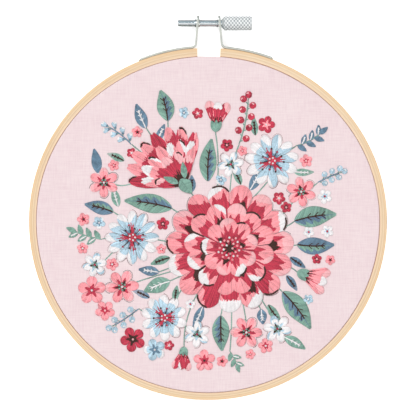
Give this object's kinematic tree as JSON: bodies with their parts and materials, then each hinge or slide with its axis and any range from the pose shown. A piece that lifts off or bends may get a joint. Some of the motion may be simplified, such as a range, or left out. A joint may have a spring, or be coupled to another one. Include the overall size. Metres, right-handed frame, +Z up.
{
  "type": "hoop embroidery art in a wooden embroidery hoop",
  "caption": "Round of pink cotton embroidered with a spray of flowers, stretched in a bamboo embroidery hoop that a knurled thumb screw tightens; it lies on its back",
  "frame": {"origin": "middle of the underside of the whole piece, on the surface it lies on; the hoop's own middle is 6.75 mm towards -Y", "axes": "+Z up out of the cloth's face; +Y from the foot of the hoop to the thumb screw; +X to the right seen from the front, towards the screw's knurled head"},
  "size_m": [0.1861, 0.1997, 0.0106],
  "materials": {
    "bamboo": "pale laminated bamboo, sanded and lightly sealed, fine lengthwise bands",
    "bamboo_inner": "the same bamboo, unsealed, under the cloth",
    "pink_cotton": "plain woven pale pink cotton, matt, drawn tight",
    "zinc_strip": "thin zinc-plated steel strip, satin",
    "zinc_screw": "zinc-plated steel, cut thread and diamond knurl",
    "thread_salmon": "stranded cotton thread in satin and long-and-short stitch",
    "thread_crimson": "stranded cotton thread in satin and long-and-short stitch",
    "thread_white": "stranded cotton thread in satin stitch",
    "thread_sky": "stranded cotton thread in satin stitch",
    "thread_slate": "stranded cotton thread in stem and satin stitch",
    "thread_green": "stranded cotton thread in fishbone stitch"
  },
  "bodies": {
    "hoop": {"ring_outer": "bamboo", "ring_inner": "bamboo_inner", "cloth": "pink_cotton", "strip_left": "zinc_strip", "strip_right": "zinc_strip", "bloom_dahlia": "thread_salmon", "bloom_carnation": "thread_crimson", "aster_top": "thread_sky", "aster_left": "thread_sky", "aster_low": "thread_sky", "star_1": "thread_white", "star_2": "thread_salmon", "star_3": "thread_salmon", "star_4": "thread_white", "star_5": "thread_salmon", "star_6": "thread_salmon", "star_7": "thread_white", "star_8": "thread_white", "tulip_right": "thread_salmon", "tulip_low": "thread_crimson", "tulip_top": "thread_crimson", "leaf_1": "thread_green", "leaf_2": "thread_slate", "leaf_3": "thread_green", "leaf_4": "thread_green", "leaf_5": "thread_green", "leaf_6": "thread_green", "leaf_7": "thread_green", "leaf_8": "thread_green", "leaf_9": "thread_slate", "leaf_10": "thread_slate", "leaf_11": "thread_slate", "leaf_12": "thread_slate", "sprig_top": "thread_crimson", "sprig_slate": "thread_slate", "sprig_bells": "thread_sky", "sprig_left": "thread_green", "sprig_sky": "thread_sky", "sprig_low": "thread_green", "sprig_right": "thread_sky"},
    "screw": {"thumb_screw": "zinc_screw"}
  },
  "joints": [
    {"name": "screw_turn", "type": "hinge", "parent": "hoop", "child": "screw", "pos_m": [0, 0.09621, 0.0045], "axis": [1, 0, 0], "continuous": true}
  ]
}
